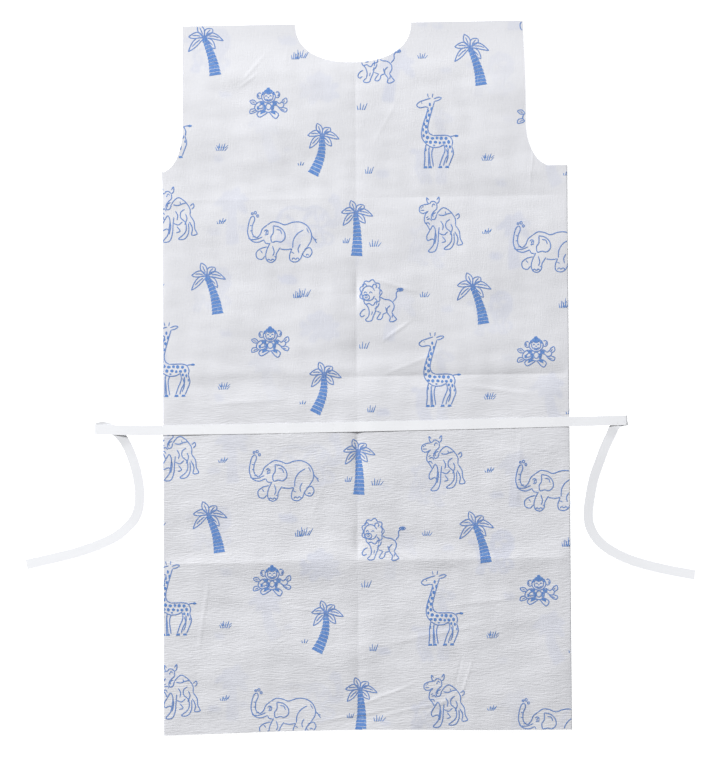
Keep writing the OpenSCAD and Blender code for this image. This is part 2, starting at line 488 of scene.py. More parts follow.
    def lie(self, x, y):
        """Where a flat place comes to lie: flared and racked, with the hem's middle drawn up and the web a
        little askew beside each armhole."""
        laid_x = x * (0.999 - self.sizes.flare * (y + 160 * MM)) + self.sizes.lean * y - 1.0 * MM
        yoke = ((y - 240 * MM) / (60 * MM)).clip(0, 1)
        laid_x -= 2.2 * MM * yoke * ((-x - 150 * MM) / (80 * MM)).clip(0, 1)
        near_right = np.exp(-(((y - 350 * MM) / (100 * MM)) ** 2) - ((x - 210 * MM) / (35 * MM)) ** 2)
        laid_x += 4.4 * MM * near_right
        rise = self.sizes.hem_rise * np.exp(-(((x + 50 * MM) / (200 * MM)) ** 2))
        low = ((-360 * MM - y) / (97 * MM)).clip(0, 1)
        return laid_x, y + rise * low * low

    def normal(self, s, y):
        """Outward normal of the printed side."""
        e = 0.15 * MM
        across = self.point(s + e, y) - self.point(s - e, y)
        along = self.point(s, y + e) - self.point(s, y - e)
        n = np.cross(across, along)
        return n / np.linalg.norm(n, axis=1)[:, None]

    def fold_x(self, s):
        """Flat x of a web place, without the turn's bulge."""
        past = np.abs(s) - self.flat
        inside = np.abs(s).clip(None, self.flat)
        return np.sign(s) * np.where(past > self.arc, self.flat - (past - self.arc), inside)

    def keeps(self, s, y, margin=0.0):
        """True where the die leaves the web, margin in from its edges."""
        x = self.fold_x(s)
        ok = (y < self.top - margin) & (y > self.bottom + margin)
        ok &= (s > self.ends[0] + margin) & (s < self.ends[1] - margin)
        neck = np.abs((x - self.centre) / (self.NECK_W + margin)) ** self.NECK_ROUND
        neck += np.abs((y - self.top) / (self.NECK_D + margin)) ** self.NECK_ROUND
        ok &= neck > 1
        for sign, edge in zip((-1, 1), self.arm_x, strict=True):
            wide = self.corner(sign)[0]
            out = sign * (x - edge) + margin
            up = y + margin - self.arm_y
            in_corner = (out < wide) & (up < self.ARM_CORNER_H)
            outside_oval = (1 - out / wide) ** 2 + (1 - up / self.ARM_CORNER_H) ** 2 >= 1
            ok &= ~((out > 0) & (up > 0) & ~(in_corner & outside_oval))
        return ok

    def corner(self, sign):
        """Width and centre x of the rounded foot of an armhole."""
        edge = self.arm_x[0 if sign < 0 else 1]
        wide = min(self.ARM_CORNER_W, self.half - abs(edge))
        return wide, edge + sign * wide

    def to_edge(self, s, y, loose):
        """Moves rim points near a curved cut onto it."""
        x = self.fold_x(s)
        cell = self.sizes.cell
        new_x, new_y = x.copy(), y.copy()
        curves = [(self.centre, self.top, self.NECK_W, self.NECK_D, self.NECK_ROUND, 0)]
        for sign in (-1, 1):
            wide, cx = self.corner(sign)
            curves.append((cx, self.arm_y + self.ARM_CORNER_H, wide, self.ARM_CORNER_H, 2, -sign))
        for cx, cy, a, b, power, inner in curves:
            u, v = (x - cx) / a, (y - cy) / b
            far = (np.abs(u) ** power + np.abs(v) ** power) ** (1 / power)
            near = loose & (np.abs(far - 1) * min(a, b) < 1.6 * cell) & (v < 1e-6)
            if inner:
                near &= (u * inner > -1e-6) & (y > self.arm_y + 1e-6)
            new_x = np.where(near, cx + a * u / far, new_x)
            new_y = np.where(near, cy + b * v / far, new_y)
        back = np.abs(s) > self.flat + self.arc
        shift = np.where(back, -np.sign(s) * (np.abs(new_x) - np.abs(x)), new_x - x)
        return s + shift, new_y


def lines(keys, cell):
    """Grid lines through every key, no further apart than cell."""
    keys = sorted(keys)
    found = [keys[0]]
    for a, b in pairwise(keys):
        count = max(1, math.ceil((b - a) / cell - 1e-6))
        found.extend(a + (b - a) * k / count for k in range(1, count + 1))
    return found


# ---------------------------------------------------------------- meshes


def grid_faces(wide, tall):
    """Faces of a grid of points that runs wide points across, tall times."""
    corners = [j * wide + i for j in range(tall - 1) for i in range(wide - 1)]
    return [(c, c + 1, c + 1 + wide, c + wide) for c in corners]


def heading(path):
    """Unit direction of a path at each of its points."""
    ahead = np.gradient(path, axis=0)
    return ahead / np.linalg.norm(ahead, axis=1)[:, None]


def distances(path):
    """How far along a path each of its points lies."""
    return np.concatenate([[0], np.cumsum(np.linalg.norm(np.diff(path, axis=0), axis=1))])


def smoothed(values, window):
    """Values averaged with their neighbours by the window's weights."""
    weights = np.asarray(window) / np.sum(window)
    return np.convolve(np.pad(values, len(window) // 2, mode="edge"), weights, mode="valid")


def add_piece(name, points, faces, materials, slots):
    mesh = bpy.data.meshes.new(name)
    mesh.from_pydata([tuple(p) for p in points], [], [tuple(int(i) for i in f) for f in faces])
    for material in materials:
        mesh.materials.append(material)
    mesh.polygons.foreach_set("material_index", np.asarray(slots, np.int32))
    mesh.polygons.foreach_set("use_smooth", np.ones(len(mesh.polygons), bool))
    mesh.update()
    piece = bpy.data.objects.new(name, mesh)
    bpy.context.scene.collection.objects.link(piece)
    return piece


def thicken(
    name, middle, normal, faces, half_t, places, materials, bands=(-1, 1), band_slots=(0,), height=0.0
):
    """A closed thin sheet about a middle surface. half_t and height may vary from point to point. bands
    are the rim's levels from inside to outside, with a material slot for each strip between them."""
    count = len(middle)
    half = np.broadcast_to(np.asarray(half_t, float), (count,))[:, None]
    lift = np.broadcast_to(np.asarray(height, float), (count,))[:, None]
    levels = [middle + normal * (lift + half * band) for band in bands]
    faces = [tuple(f) for f in faces]
    sides = dict.fromkeys(side for f in faces for side in zip(f, f[1:] + f[:1], strict=True))
    rim = [(a, b) for a, b in sides if (b, a) not in sides]
    top = (len(bands) - 1) * count
    all_faces = [tuple(reversed(f)) for f in faces] + [tuple(i + top for i in f) for f in faces]
    slots = [len(materials) - 1 if len(materials) > 2 else 0] * len(faces) + [0] * len(faces)
    for k in range(len(bands) - 1):
        low, high = k * count, (k + 1) * count
        all_faces += [(a + low, b + low, b + high, a + high) for a, b in rim]
        slots += [band_slots[k]] * len(rim)
    points = np.concatenate(levels)
    used = np.zeros(len(points), bool)
    used[np.unique(np.fromiter((i for f in all_faces for i in f), int))] = True
    order = np.cumsum(used) - 1
    all_faces = [tuple(order[i] for i in f) for f in all_faces]
    piece = add_piece(name, points[used], all_faces, materials, slots)
    web = np.tile(np.column_stack([places / MM, np.zeros(count)]), (len(bands), 1))[used]
    piece.data.attributes.new("web", "FLOAT_VECTOR", "POINT").data.foreach_set("vector", web.ravel())
    corner_normals(piece.data, np.tile(normal, (len(bands), 1))[used], len(faces))
    return piece


def corner_normals(mesh, normal, face_count):
    """Each broad side keeps the whole web's normals, so that neighbouring pieces shade as one."""
    vertex = np.empty(len(mesh.loops), np.int32)
    mesh.loops.foreach_get("vertex_index", vertex)
    totals = np.empty(len(mesh.polygons), np.int32)
    mesh.polygons.foreach_get("loop_total", totals)
    owner = np.repeat(np.arange(len(totals)), totals)
    flat = np.empty(3 * len(mesh.polygons))
    mesh.polygons.foreach_get("normal", flat)
    flat = flat.reshape(-1, 3)
    chosen = np.where((owner < face_count)[:, None], -normal[vertex], normal[vertex])
    chosen = np.where((owner >= 2 * face_count)[:, None], flat[owner], chosen)
    mesh.normals_split_custom_set(chosen.tolist())


# ---------------------------------------------------------------- the print


def curve(points, step):
    """A smooth line through points, cut into pieces of about step."""
    p = np.asarray(points, float)
    if len(p) == 2:
        return np.array([p[0] + (p[1] - p[0]) * t for t in (0, 0.5, 1)])
    p = np.concatenate([2 * p[:1] - p[1:2], p, 2 * p[-1:] - p[-2:-1]])
    found = []
    for a, b, c, d in zip(p, p[1:], p[2:], p[3:], strict=False):
        count = max(2, round(np.linalg.norm(c - b) / step))
        for t in np.arange(count) / count:
            found.append(0.5 * (2 * b + (c - a) * t + (2 * a - 5 * b + 4 * c - d) * t * t
                                + (3 * b - a - 3 * c + d) * t ** 3))
    found.append(p[-2])
    return np.array(found)


def ring(x, y, wide, tall, start=0, end=360, count=10):
    """Points of an oval, or of part of it."""
    angles = np.radians(np.linspace(start, end, count))
    return [(x + wide * math.cos(a), y + tall * math.sin(a)) for a in angles]


def leaf(x, y, angle, length, width, droop):
    """A palm leaf's outline and its rib, hanging from its root."""
    turn = math.radians(angle)
    t = np.linspace(0, 1, 5)
    rib = np.column_stack([x + length * t * math.cos(turn), y + length * t * math.sin(turn) - droop * t * t])
    swell = width / 2 * np.array([0.1, 0.62, 1, 0.8, 0])
    edge = np.column_stack([-math.sin(turn) * swell, math.cos(turn) * swell])
    return [rib + edge, rib - edge, rib[1:4]]


def palm(top, foot, bow, leaves):
    """A palm: a trunk of solid bands that bows from foot to top, and its crown."""
    bands = []
    count = 11
    run, drop = foot[0] - top[0], foot[1] - top[1]
    for k in range(count):
        band = []
        for t, flare in (((k + 0.03) / count, -0.35), ((k + 0.91) / count, 0.45)):
            x, y = top[0] + run * t + bow * math.sin(math.pi * t), top[1] + drop * t
            slope = run + bow * math.pi * math.cos(math.pi * t)
            half_w = (3.2 + 4.0 * t + flare) / math.hypot(slope, drop)
            band.append([(x + drop * half_w, y - slope * half_w), (x - drop * half_w, y + slope * half_w)])
        bands.append(band[0] + band[1][::-1])
    strokes = [stroke for shape in leaves for stroke in leaf(top[0], top[1] + 1, *shape)]
    return strokes, bands


def tuft(wide, tall, blades):
    """A tuft of grass: solid blades of uneven height."""
    found = []
    for k in range(blades):
        t = k / (blades - 1) - 0.5
        height = tall * (0.62, 1.0, 0.78, 0.96, 0.6, 0.85)[k % 6]
        foot = t * wide * 0.8
        tip = t * wide * 1.3 + 0.16 * tall
        found.append([(foot - 0.75, 0), (foot + 0.75, 0), (tip + 0.3, height), (tip - 0.3, height)])
    return [], found


def blob(x, y, wide, tall):
    """A small solid oval, as bands of four-sided faces."""
    ends = []
    for k in range(4):
        half_w, level = wide * max(math.sin(math.pi * k / 3), 0.25), y - tall * math.cos(math.pi * k / 3)
        ends.append([(x - half_w, level), (x + half_w, level)])
    return [low + high[::-1] for low, high in pairwise(ends)]


def elephant():
    """Walking to the left with its trunk raised."""
    strokes = [
        [(-21, 15), (-14, 19), (-6, 18), (2, 15), (12, 18), (22, 18), (31, 13), (36, 4), (36, -5), (31, -14)],
        [(31, -14), (25, -22), (22, -29), (16, -33), (9, -31), (8, -24), (11, -16)],
        [(36, 1), (40, -4), (43, -9)], [(40, -4), (43, -5)],
        [(11, -16), (4, -17), (-4, -16)], [(26, 8), (18, 3), (13, -5), (12, -15)],
        [(-21, 15), (-27, 10), (-30, 3), (-35, -1), (-40, 4), (-40, 14), (-37, 22), (-38, 27)],
        [(-25, -4), (-34, -7), (-42, -4), (-46, 5), (-45, 16), (-42, 25), (-38, 27)],
        [(-27, 0), (-35, -3), (-43, -3), (-45, -1)], [(-25, -4), (-23, -8), (-18, -9)],
        [(-13, 14), (-5, 12), (1, 6), (2, -2), (-3, -7), (-9, -6), (-15, -7), (-16, 0), (-13, 5), (-13, 14)],
        [(-25, 7), (-22, 9), (-19, 7)], ring(-21, 5, 1.4, 2.2, 0, 360, 7),
        [(-17, -8), (-21, -16), (-23, -24), (-21, -31), (-15, -33), (-10, -29), (-9, -22), (-4, -14)],
        [(-21, -13), (-29, -15), (-35, -20), (-34, -27), (-28, -29), (-24, -25)],
        [(27, -17), (34, -15), (37, -21), (33, -27), (27, -26), (24, -22)],
        ring(-19, -31, 2, 2, 0, 180, 5), ring(-14, -31, 2, 2, 0, 180, 5), ring(13, -30, 2, 2, 0, 180, 5),
        ring(18, -30, 2, 2, 0, 180, 5), ring(31, -25, 1.6, 1.6, 0, 180, 5),
        ring(-36, 31, 1.6, 1.6, 0, 360, 7), ring(-33, 27, 1.4, 1.4, 0, 360, 7),
        ring(-40, 30, 1.2, 1.2, 0, 360, 7), [(-36, 1), (-40, 0)], [(-40, 8), (-43, 8)],
        [(-40, 14), (-43, 15)], [(-14, -12), (-12, -20), (-14, -25)], [(22, -10), (19, -16), (20, -22)],
        [(-9, 9), (-4, 8), (-2, 3)], [(-30, -17), (-27, -21)], [(30, 10), (33, 4)], [(-12, -25), (-9, -27)],
        [(10, -20), (14, -22)], [(-24, 3), (-22, 2)],
    ]
    return strokes, []


def lion():
    """Walking to the left, full mane."""
    turn = np.linspace(0, 2 * math.pi, 46)
    curl = 1.3 * np.cos(9 * turn)
    mane = np.column_stack([-13 + (13.5 + curl) * np.cos(turn), 9 + (15.5 + curl) * np.sin(turn)])
    strokes = [
        mane, ring(-16, 8, 8.5, 9.5, 20, 340, 12), ring(-19, 3, 4.6, 3.6, 0, 360, 9),
        ring(-8, 17, 2.6, 2.6, -60, 200, 7), ring(-21, 18, 2.4, 2.4, 0, 220, 7),
        [(-22, 8), (-20, 10), (-18, 8)], [(-15, 8), (-13, 10), (-11, 8)], [(-21, 4), (-19, 2), (-17, 4)],
        [(-1, 3), (5, 0), (11, -1), (16, -5), (17, -11), (14, -17)],
        [(16, -3), (20, 2), (20, 8), (23, 11)], ring(25, 12, 4.0, 1.8, 0, 360, 8),
        [(14, -17), (17, -22), (20, -26), (15, -29), (11, -28), (12, -23), (8, -17), (6, -10)],
        [(8, -17), (3, -19), (2, -23), (-1, -26), (-5, -25), (-3, -21), (0, -17)],
        [(0, -17), (-6, -15)],
        [(-6, -8), (-7, -15), (-10, -22), (-12, -27), (-17, -28), (-20, -26), (-16, -22)],
        [(-16, -22), (-15, -16), (-17, -9), (-20, -6)],
        [(-20, -12), (-24, -14), (-27, -19), (-25, -22), (-21, -20)],
        [(-2, -4), (-4, -9), (-8, -12)], [(12, -8), (8, -12), (8, -17)], [(-8, 2), (-5, -2), (-6, -7)],
        [(-4, 16), (-1, 12), (-2, 6)], [(-24, 14), (-22, 12)], [(-12, -20), (-11, -15)],
        [(14, -24), (15, -20)],
    ]
    return strokes, blob(-19, 5.4, 1.5, 1.0) + blob(25, 12, 2.6, 0.9)


def giraffe():
    """Standing, facing left, spotted."""
    strokes = [
        [(-7, 42), (-14, 40), (-22, 37), (-25, 33), (-21, 30), (-14, 31), (-10, 30)],
        [(-10, 43), (-11, 48)], [(-5, 43), (-4, 48)], [(-3, 41), (3, 43), (7, 42), (3, 39), (-2, 38)],
        [(-10, 30), (-13, 20), (-17, 8), (-19, -2), (-18, -10), (-13, -17)],
        [(-2, 38), (-5, 28), (-9, 14), (-11, 4), (-9, -3), (-4, -6)],
        [(-4, -6), (4, -6), (12, -6), (18, -8), (21, -14), (20, -20)],
        [(18, -8), (22, -7), (26, -7)],
        [(-13, -17), (-6, -21), (3, -21), (10, -18)],
        [(-13, -17), (-15, -26), (-15, -36), (-16, -46)], [(-9, -20), (-10, -30), (-10, -46)],
        [(-10, -22), (-9, -32), (-8, -46)], [(-4, -21), (-6, -30), (-4, -46)],
        [(10, -18), (11, -26), (7, -36), (4, -45)], [(15, -22), (15, -30), (11, -38), (9, -45)],
        [(20, -20), (22, -29), (19, -38), (16, -45)], [(13, -24), (15, -33), (12, -42)],
    ]
    spots = []
    for spot in (
        (-18.5, 36, 0.8, 0.8), (26, -7, 3.0, 1.4), (-8, 34, 1.5, 2.2), (-6, 28, 1.5, 2.4),
        (-10.5, 26, 1.4, 2.0), (-9.4, 20.5, 1.8, 2.2), (-13, 18, 1.3, 2.6), (-11.6, 13, 2.0, 2.0),
        (-15.5, 9, 1.3, 2.2), (-13, 5.6, 1.8, 2.2), (-17, 1.6, 1.3, 2.4), (-13, -1.6, 2.0, 2.2),
        (-16.4, -6, 1.6, 2.0), (-11.4, -8.4, 2.4, 2.2), (-5, -9.6, 2.6, 1.8), (1, -9.2, 2.0, 1.8),
        (6.4, -9.6, 2.4, 2.2), (12.6, -10, 2.2, 2.0), (-13, -14, 2.2, 1.6), (-7.6, -14.6, 2.2, 2.2),
        (-1, -14.6, 2.4, 1.8), (4.6, -15.6, 1.8, 1.8), (10, -15.4, 2.2, 1.8), (16, -14.6, 2.0, 2.4),
        (-3, -18.6, 1.6, 1.0), (17.6, -21, 1.4, 2.2), (13, -20, 1.6, 1.8), (-13.6, -24, 0.9, 2.0),
        (20, -27, 0.9, 1.8),
    ):
        spots += blob(*spot)
    for x in (-14, -8, 5, 14):
        spots += [[(x - 3, -48), (x + 2.4, -48), (x + 2, -45.4), (x - 2, -45.4)]]
    return strokes, spots


def camel():
    """Standing three-quarters to the left, one hump."""
    strokes = [
        [(-13, 33), (-16, 36), (-15, 30), (-12, 28)], [(-3, 33), (0, 37), (0, 31), (-3, 28)],
        [(-12, 28), (-10, 31), (-6, 31), (-3, 28)],
        [(-13, 28), (-20, 27), (-25, 24), (-25, 18), (-20, 16), (-14, 19)],
        [(-22, 24), (-20, 25)], [(-24, 20), (-19, 20)], [(-9, 26), (-7, 28), (-5, 26)],
        [(-14, 19), (-18, 14), (-19, 6), (-15, 0), (-12, -6)],
        [(-3, 28), (-3, 22), (-7, 18), (-10, 13), (-9, 8), (-5, 9), (-3, 15)],
        [(-3, 15), (1, 20), (6, 23), (12, 20), (17, 15), (21, 8), (21, 0)],
        [(-1, 14), (5, 13), (11, 15), (16, 16)], [(21, 12), (25, 15), (26, 11), (23, 8)],
        [(-16, 8), (-12, 9), (-10, 6)], [(-18, 3), (-14, 4), (-12, 1)],
        [(-12, -6), (-8, 0), (-5, -6), (-6, -16), (-8, -25), (-14, -33), (-6, -33), (-2, -24), (-1, -12),
         (0, -2)],
        [(-12, -6), (-16, -13), (-15, -19), (-9, -17), (-6, -20)],
        [(14, 8), (9, 4), (9, -3), (15, -9), (16, -18), (13, -24), (6, -30), (14, -30), (19, -22), (19, -10)],
        [(0, -10), (6, -12), (11, -8)], [(-4, 17), (-8, 15), (-8, 11)], [(-14, 12), (-17, 10)],
        [(8, 18), (9, 14)], [(-6, -24), (-4, -14), (-5, -8)], [(14, -12), (17, -4), (15, 2)],
        [(23, -12), (24, -18)], [(2, 6), (5, 0), (4, -6)],
        [(21, 0), (26, -8), (27, -17), (30, -24), (23, -25), (24, -17), (20, -8)],
        [(4, -14), (8, -20), (3, -22)],
    ]
    return strokes, blob(-9, 25, 0.8, 1.0) + blob(-23, 23, 0.8, 0.8)


def monkey():
    """A small monkey sitting on leaves, with a dark cap of fur."""
    strokes = [
        ring(0, 6.6, 9, 8.4, 155, 385, 12),
        [(-6, 8), (-4, 11), (0, 9.4), (4, 11), (6, 8), (5, 3), (0, 0.4), (-5, 3), (-6, 8)],
        [(-4.2, 6.2), (-2.8, 7.6), (-1.4, 6.2)], [(1.4, 6.2), (2.8, 7.6), (4.2, 6.2)],
        [(-3.4, 3.6), (0, 1.6), (3.4, 3.6)],
        ring(-11.4, 7.4, 3.2, 3.8, 50, 310, 8), ring(11.4, 8.4, 3.2, 3.8, -130, 130, 8),
        [(-12.6, 9), (-13, 7), (-11.6, 5.6)], [(12.6, 10), (13, 8), (11.6, 6.6)],
        [(-5, -1), (-7, -6), (-5, -12), (0, -14), (5, -12), (7, -6), (5, -1)],
        ring(0, -6.6, 3.4, 4, 0, 360, 9),
        [(-5, -1), (-11, 0), (-16, -3), (-18, -8), (-15, -12), (-10, -12), (-6, -10)],
        [(-6, -4), (-10, -4), (-13, -7), (-11, -9), (-7, -8)],
        [(5, -1), (10, 0), (14, -3), (17, -1), (20, -4), (18, -8), (14, -8), (10, -5), (6, -5)],
        [(-5, -11), (-11, -12), (-15, -16), (-12, -20), (-7, -18), (-1, -14)],
        [(4, -12), (9, -13), (13, -17), (10, -22), (6, -20), (1, -14)],
        [(-16, -3), (-21, -3), (-24, 1), (-19, 2), (-15, -2)],
        [(-17, -9), (-23, -10), (-24, -15), (-18, -14), (-15, -12)],
        [(20, -4), (24, -1), (23, 4), (19, 2), (17, -1)],
        [(19, -8), (24, -10), (22, -14), (17, -12), (13, -8)],
        [(-22, 0), (-18, -1)], [(21, 1), (19, -2)], [(-22, -13), (-17, -11)], [(21, -12), (16, -10)],
    ]
    fills = [
        [(-9.2, 7), (-6.6, 8.6), (-5, 12.2), (-7.6, 12.4)], [(-6.6, 12), (0, 10.2), (0, 15.6), (-4.6, 14.8)],
        [(0, 10.2), (6.6, 12), (4.6, 14.8), (0, 15.6)], [(6.6, 8.6), (9.2, 7), (7.6, 12.4), (5, 12.2)],
        [(-3, 15), (3, 15), (1, 18), (-2, 17.4)], [(-6, -3.6), (-10, -3.8), (-12, -1), (-6, -1)],
        [(6, -4.4), (11, -4), (11, -1), (6, -1.2)], [(-6, -11.6), (-10, -12.6), (-11, -16.6), (-3, -13.6)],
        [(4, -12.6), (9, -13.6), (9, -17.4), (3, -14.4)],
        [(-6.4, -4), (-4, -4), (-3.4, -11.4), (-5.4, -10.6)],
        [(4, -4), (6.4, -4), (5.4, -10.6), (3.4, -11.4)], [(-15, -6), (-13, -6), (-12, -10.6), (-15, -10)],
    ]
    return strokes, fills + blob(0, 5, 1.2, 0.8)


# Palm leaves: angle, length, width and droop
LEANING_LEAVES = (
    (150, 23, 9, 10), (112, 20, 8, 1), (62, 22, 9, 8), (26, 27, 9.5, 16), (196, 21, 8.5, 12), (-34, 17, 8, 5),
)
UPRIGHT_LEAVES = (
    (148, 22, 9, 11), (110, 18, 7.5, 1), (56, 20, 8.5, 7), (20, 24, 9, 13), (204, 18, 8, 9),
    (-38, 16, 7.5, 4),
)
# One repeat, in millimetres: each drawing and its place
MOTIFS = (
    (elephant(), -105.5, 184), (lion(), 20, 101), (giraffe(), 94, 9.5), (camel(), 96, 194.5),
    (monkey(), -123, 51), (palm((-3, 17), (11, -31), 2.5, LEANING_LEAVES), -201.5, 116.5),
    (palm((3, 16), (-9, -33), 4.5, UPRIGHT_LEAVES), -57, -11),
    (palm((-1, 20), (0, -35), 1.5, UPRIGHT_LEAVES), -11, 192),
)
# Each tuft's place, width, height and number of blades
TUFTS = (
    (-81, 106, 14, 11, 6), (76, 103, 10, 7, 5), (-3, 38, 10, 9, 4), (-183, -8, 11, 6, 5), (-82, -32, 6, 5, 3),
    (6, -44, 8, 9, 4), (159, -30, 12, 7, 5), (-184, 204, 6, 5, 3), (156, 183, 8, 5, 4), (255, 86, 10, 9, 5),
    (-25, 174, 7, 7, 4), (12, 169, 12, 9, 5),
)


class Print:
    """Collects printed faces on the flat web, then trims them to it."""

    LEVELS = 7  # strokes that cross lie at different levels
    MARGIN = 0.2 * MM  # bare edge of the web

    def __init__(self, web, sizes):
        self.web = web
        self.sizes = sizes
        self.points = []
        self.faces = []
        self.solid = []
        self.level = []
        self.count = 0

    def add(self, points, faces, solid):
        start = len(self.points)
        self.points.extend(points)
        self.level.extend([self.count % self.LEVELS] * len(points))
        self.faces.extend([tuple(i + start for i in f) for f in faces])
        self.solid.extend([solid] * len(faces))
        self.count += 1

    def stroke(self, points, shift):
        """A pen stroke, thinner at its two ends."""
        path = curve(points, self.sizes.step / MM) + shift
        ahead = heading(path)
        half_w = np.full(len(path), self.sizes.line / MM / 2)
        half_w[[0, -1]] *= 0.45
        edge = np.column_stack([-ahead[:, 1], ahead[:, 0]]) * half_w[:, None]
        both = np.concatenate([path - edge, path + edge]) * MM
        self.add(both.tolist(), grid_faces(len(path), 2), False)

    def fill(self, corners, shift):
        """A solid four-sided area."""
        a, b, c, d = (np.asarray(corners, float) + shift) * MM
        if np.cross(c - a, d - b) < 0:
            b, d = d, b
        cell = self.sizes.step * 1.3
        wide = max(1, math.ceil(max(np.linalg.norm(b - a), np.linalg.norm(c - d)) / cell))
        tall = max(1, math.ceil(max(np.linalg.norm(d - a), np.linalg.norm(c - b)) / cell))
        points = []
        for j in range(tall + 1):
            low, high = a + (d - a) * j / tall, b + (c - b) * j / tall
            points.extend((low + (high - low) * i / wide).tolist() for i in range(wide + 1))
        self.add(points, grid_faces(wide + 1, tall + 1), True)

    def motif(self, drawing, shift):
        strokes, fills = drawing
        for stroke in strokes:
            self.stroke(stroke, shift)
        for corners in fills:
            self.fill(corners, shift)

    def repeat(self):
        """Draws every motif of every repeat that reaches the web."""
        across, along = np.array(self.sizes.across) / MM, np.array(self.sizes.along) / MM
        drawings = [*MOTIFS, *((tuft(wide, tall, blades), x, y) for x, y, wide, tall, blades in TUFTS)]
        for i in range(-2, 3):
            for j in range(-2, 3):
                for drawing, x, y in drawings:
                    shift = across * i + along * j + (x, y)
                    if self.near(*shift * MM):
                        self.motif(drawing, shift)

    def near(self, s, y, reach=60 * MM):
        low, high = self.web.ends
        return low - reach < s < high + reach and self.web.bottom - reach < y < self.web.top + reach

    def trim(self, cuts):
        """Divides the print at the section lines and drops what falls outside the web."""
        flat = bmesh.new()
        level = flat.verts.layers.int.new("level")
        solid = flat.faces.layers.int.new("solid")
        for (s, y), lift in zip(self.points, self.level, strict=True):
            flat.verts.new((s, y, 0))[level] = lift
        flat.verts.ensure_lookup_table()
        for face, is_solid in zip(self.faces, self.solid, strict=True):
            flat.faces.new([flat.verts[i] for i in face])[solid] = int(is_solid)
        for y in cuts:
            cut = [f for f in flat.faces if min(v.co.y for v in f.verts) < y < max(v.co.y for v in f.verts)]
            edges = dict.fromkeys(e for f in cut for e in f.edges)
            verts = dict.fromkeys(v for f in cut for v in f.verts)
            geometry = [*cut, *edges, *verts]
            bmesh.ops.bisect_plane(flat, geom=geometry, plane_co=(0, y, 0), plane_no=(0, 1, 0), dist=1e-7)
        flat.verts.index_update()
        places = np.array([v.co[:2] for v in flat.verts])
        inside = self.web.keeps(places[:, 0], places[:, 1], self.MARGIN).tolist()
        past = [f for f in flat.faces if not all(inside[v.index] for v in f.verts)]
        bmesh.ops.delete(flat, geom=past, context="FACES")
        flat.verts.index_update()
        self.points = np.array([v.co[:2] for v in flat.verts])
        self.level = np.array([v[level] for v in flat.verts])
        self.faces = [tuple(v.index for v in f.verts) for f in flat.faces]
        self.solid = np.array([f[solid] for f in flat.faces])
        self.centres = np.array([f.calc_center_median().y for f in flat.faces])
        flat.free()


# ---------------------------------------------------------------- shared while building


class Build:
    """What one operator leaves for the next."""

    web = None
    printed = None
    finishes = {}


GROUPS = {"gown_sizes": GownSizes, "gown_print": PrintSizes, "gown_colours": GownColours}


def settings(group):
    return getattr(bpy.context.scene, group)


def the_web():
    if Build.web is None:
        Build.web = Web(settings("gown_sizes"))
    return Build.web


def the_print():
    if Build.printed is None:
        Build.printed = Print(the_web(), settings("gown_print"))
        Build.printed.repeat()
        Build.printed.trim(zone_cuts())
    return Build.printed


def finish(name):
    if not Build.finishes:
        colours = settings("gown_colours")
        Build.finishes = {
            "outer": tissue_finish("creped tissue printed", colours, True),
            "inner": tissue_finish("creped tissue plain", colours, False),
            "film": film_finish(),
            "ink": ink_finish(colours),
            "solid ink": solid_ink_finish(colours),
            "ribbon": ribbon_finish(colours),
            "glue": glue_finish(colours),
        }
    return Build.finishes[name]


# How far each crease's bending strip reaches to either side of it
BEND = {"yoke": 5.1 * MM, "waist": 11.5 * MM, "hem": 5.1 * MM}


def zones():
    """From the neck down: name, low y, high y, and the body or the two bodies that it follows."""
    web = the_web()
    yoke, waist, hem = web.creases
    y = [
        web.top, yoke + BEND["yoke"], yoke - BEND["yoke"], waist + BEND["waist"], waist - BEND["waist"],
        hem + BEND["hem"], hem - BEND["hem"], web.bottom,
    ]
    names = ("yoke", "yoke_crease", "chest", "waist_crease", "skirt", "hem_crease", "hem")
    follows = (
        ("yoke",), ("chest", "yoke"), ("chest",), ("skirt", "chest"), ("skirt",), ("skirt", "hem"), ("hem",),
    )
    strips = zip(names, pairwise(y), follows, strict=True)
    return [(name, low, high, bodies) for name, (high, low), bodies in strips]


def zone_cuts():
    return [low for _, low, _, _ in zones()[:-1]]


def follow(piece, low, high, bodies):
    """Rides on one section; a piece across a crease is left where it lies, its transform baked into its
    points.
    """
    if len(bodies) == 1:
        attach(piece, SECTION_BODIES[bodies[0]])
        return
    start, end = (high, low) if bodies[1] == "hem" else (low, high)
    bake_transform(piece)


def zone_mesh(centres, faces, low, high):
    """The faces between two y limits, with their points renumbered."""
    inside = (centres > low) & (centres < high)
    chosen = [f for f, keep in zip(faces, inside.tolist(), strict=True) if keep]
    used = sorted({i for f in chosen for i in f})
    order = {i: k for k, i in enumerate(used)}
    return np.array(used, int), [tuple(order[i] for i in f) for f in chosen], inside


def ribbon_piece(name, path, aside, half_w):
    """A flat strip along a path, thinner at its edges. aside gives its width's direction at each point."""
    up = np.cross(heading(path), aside)
    up /= np.linalg.norm(up, axis=1)[:, None]
    shares = np.array([-1, -0.97, -0.5, 0, 0.5, 0.97, 1])
    middle = np.concatenate([path + aside * half_w * share for share in shares])
    n, rows = len(path), len(shares)
    places = np.column_stack([np.tile(distances(path), rows), np.repeat(shares * half_w, n)])
    half_t = np.repeat(np.where(np.abs(shares) == 1, 0.4, 1.0) * RIBBON_HALF_T, n)
    faces = grid_faces(n, rows)
    return thicken(name, middle, np.tile(up, (rows, 1)), faces, half_t, places, [finish("ribbon")])


# ---------------------------------------------------------------- operators


